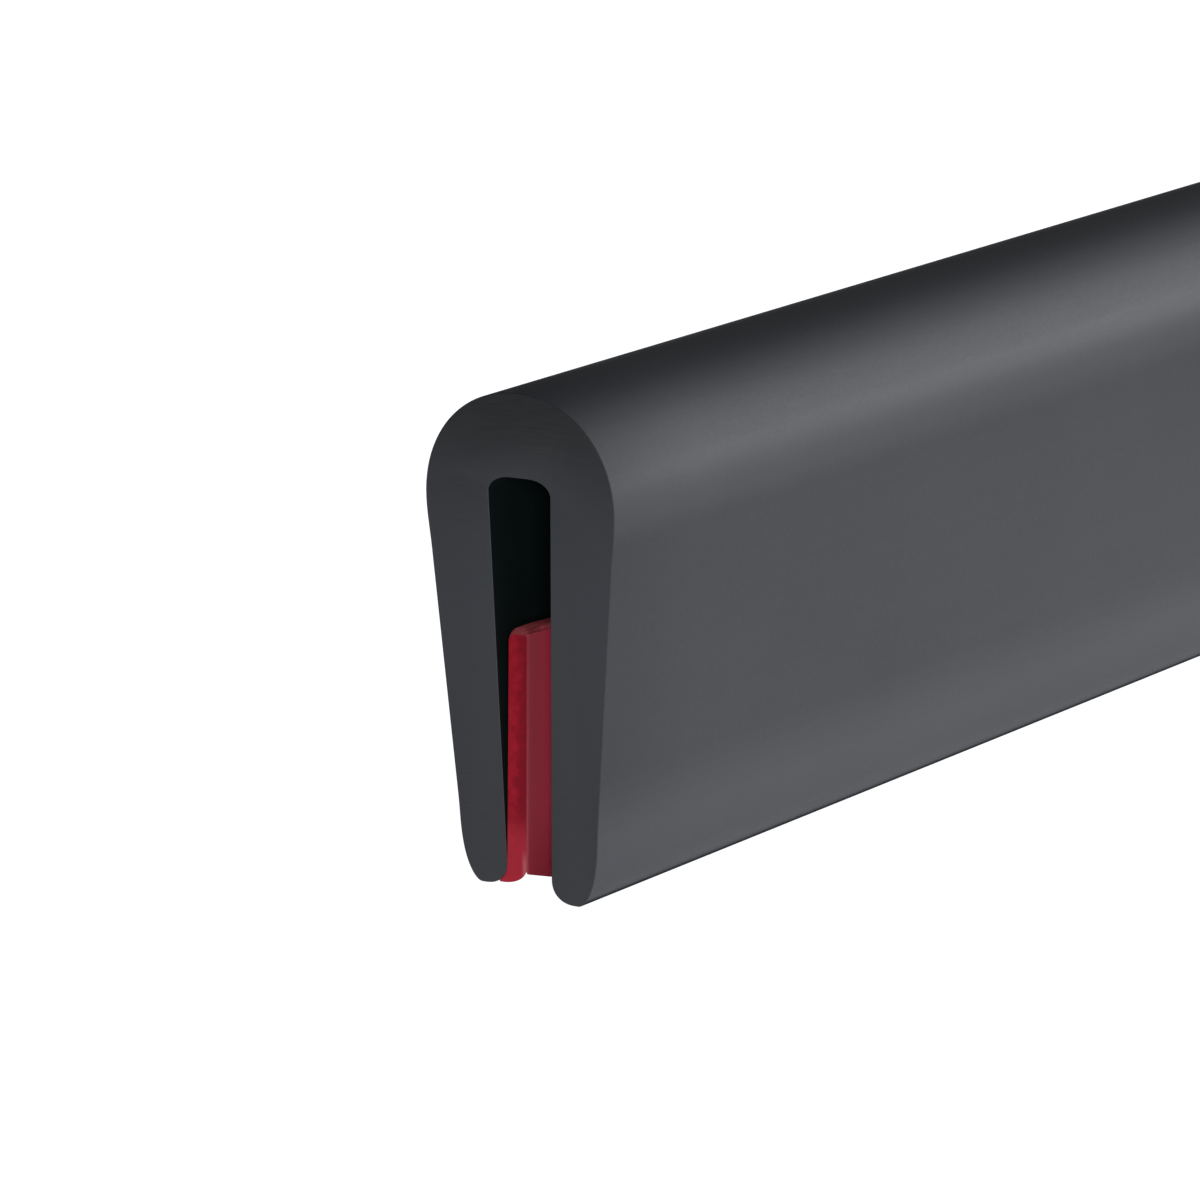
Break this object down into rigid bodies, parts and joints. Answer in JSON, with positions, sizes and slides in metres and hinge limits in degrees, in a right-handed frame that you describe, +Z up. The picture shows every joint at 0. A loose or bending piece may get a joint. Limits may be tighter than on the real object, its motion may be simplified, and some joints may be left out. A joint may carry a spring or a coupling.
{
  "type": "edge trim seal",
  "caption": "Straight length of U-section rubber edge trim with foam adhesive tape and its release liner inside the slot, pressed over a thin panel's edge",
  "frame": {"origin": "middle of the length and of the width, on the floor that the longer leg's tip stands on", "axes": "+Y runs along the trim, away from the end shown in the picture; +Z points up from the open side to the rounded crown; +X points from the leg that carries the tape to the other leg"},
  "size_m": [0.011, 0.3048, 0.0251],
  "materials": {
    "rubber": "satin",
    "tape": "matte",
    "liner": "satin"
  },
  "bodies": {
    "root": {"trim_profile": "rubber", "adhesive_tape": "tape", "release_liner": "liner"}
  },
  "joints": []
}
